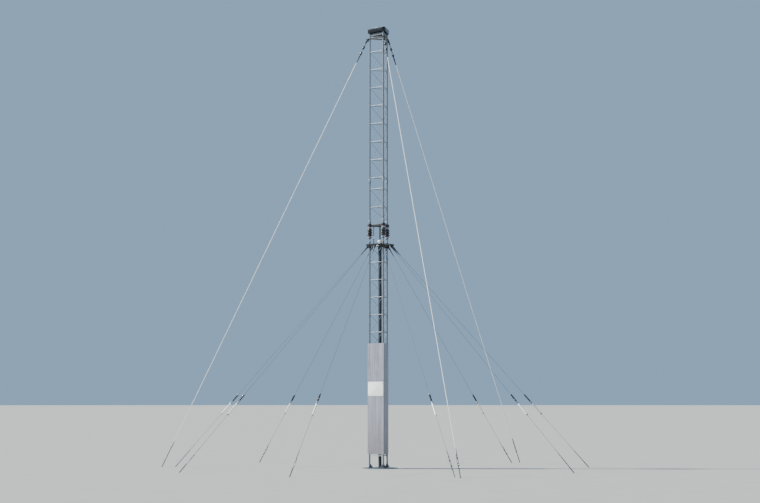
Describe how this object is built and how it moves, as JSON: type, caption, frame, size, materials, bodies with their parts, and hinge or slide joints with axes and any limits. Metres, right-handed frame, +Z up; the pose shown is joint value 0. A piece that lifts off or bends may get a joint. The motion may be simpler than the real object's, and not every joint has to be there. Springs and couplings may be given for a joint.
{
  "type": "guyed lattice radio mast",
  "caption": "Guyed triangular lattice radio mast with an insulated upper half, a skirt of sloping wires and a clad foot.",
  "frame": {"origin": "centre of the base plate's underside, at ground level", "axes": "+Z up the mast; the front side, with the blank sign, faces -Y; one leg stands at +Y"},
  "size_m": [9.1894, 9.3571, 9.6595],
  "materials": {
    "galvanised_steel": "hot-dip galvanised, dull spangle",
    "dark_steel": "weathered dark steel",
    "cladding_sheet": "plain aluminium sheet, dulled",
    "sign_white": "blank white enamel",
    "dark_insulator": "brown-black glaze",
    "white_ceramic": "white glazed ceramic",
    "pipe_jacket": "black pipe jacket",
    "copper": "copper with a green patina",
    "wire_steel": "stranded steel wire, dull",
    "white_rod": "white glass-fibre rod"
  },
  "bodies": {
    "root": {"base_plate": "galvanised_steel", "lower_legs": "galvanised_steel", "upper_legs": "galvanised_steel", "lower_lattice_front": "galvanised_steel", "upper_lattice_front": "galvanised_steel", "cladding_front": "cladding_sheet", "lower_lattice_left": "galvanised_steel", "upper_lattice_left": "galvanised_steel", "cladding_left": "cladding_sheet", "lower_lattice_right": "galvanised_steel", "upper_lattice_right": "galvanised_steel", "cladding_right": "cladding_sheet", "sheet_clamps": "galvanised_steel", "sign_plate": "sign_white", "collar_plate": "dark_steel", "insulator_studs": "galvanised_steel", "insulator_caps": "galvanised_steel", "post_insulators": "dark_insulator", "upper_base_frame": "dark_steel", "arc_horns": "galvanised_steel", "feed_pipe": "pipe_jacket", "feed_flange": "dark_steel", "end_seal": "white_ceramic", "feed_strap": "copper", "top_frame": "galvanised_steel", "guy_plate": "dark_steel", "top_cap": "dark_steel", "stay_forks": "dark_steel", "stay_pins": "dark_steel", "skirt_grips": "dark_steel", "skirt_wire_1": "wire_steel", "skirt_wire_2": "wire_steel", "skirt_wire_3": "wire_steel", "skirt_wire_4": "wire_steel", "skirt_wire_5": "wire_steel", "skirt_wire_6": "wire_steel", "skirt_wire_7": "wire_steel", "skirt_wire_8": "wire_steel", "skirt_wire_9": "wire_steel", "skirt_insulators": "dark_insulator", "skirt_rods": "white_rod", "skirt_tails": "wire_steel", "guy_links": "dark_steel", "guy_sockets": "dark_steel", "turnbuckles": "dark_steel", "anchor_rods": "dark_steel", "guy_insulators": "dark_insulator", "top_guy_1": "white_rod", "top_guy_2": "white_rod", "top_guy_3": "white_rod"}
  },
  "joints": []
}
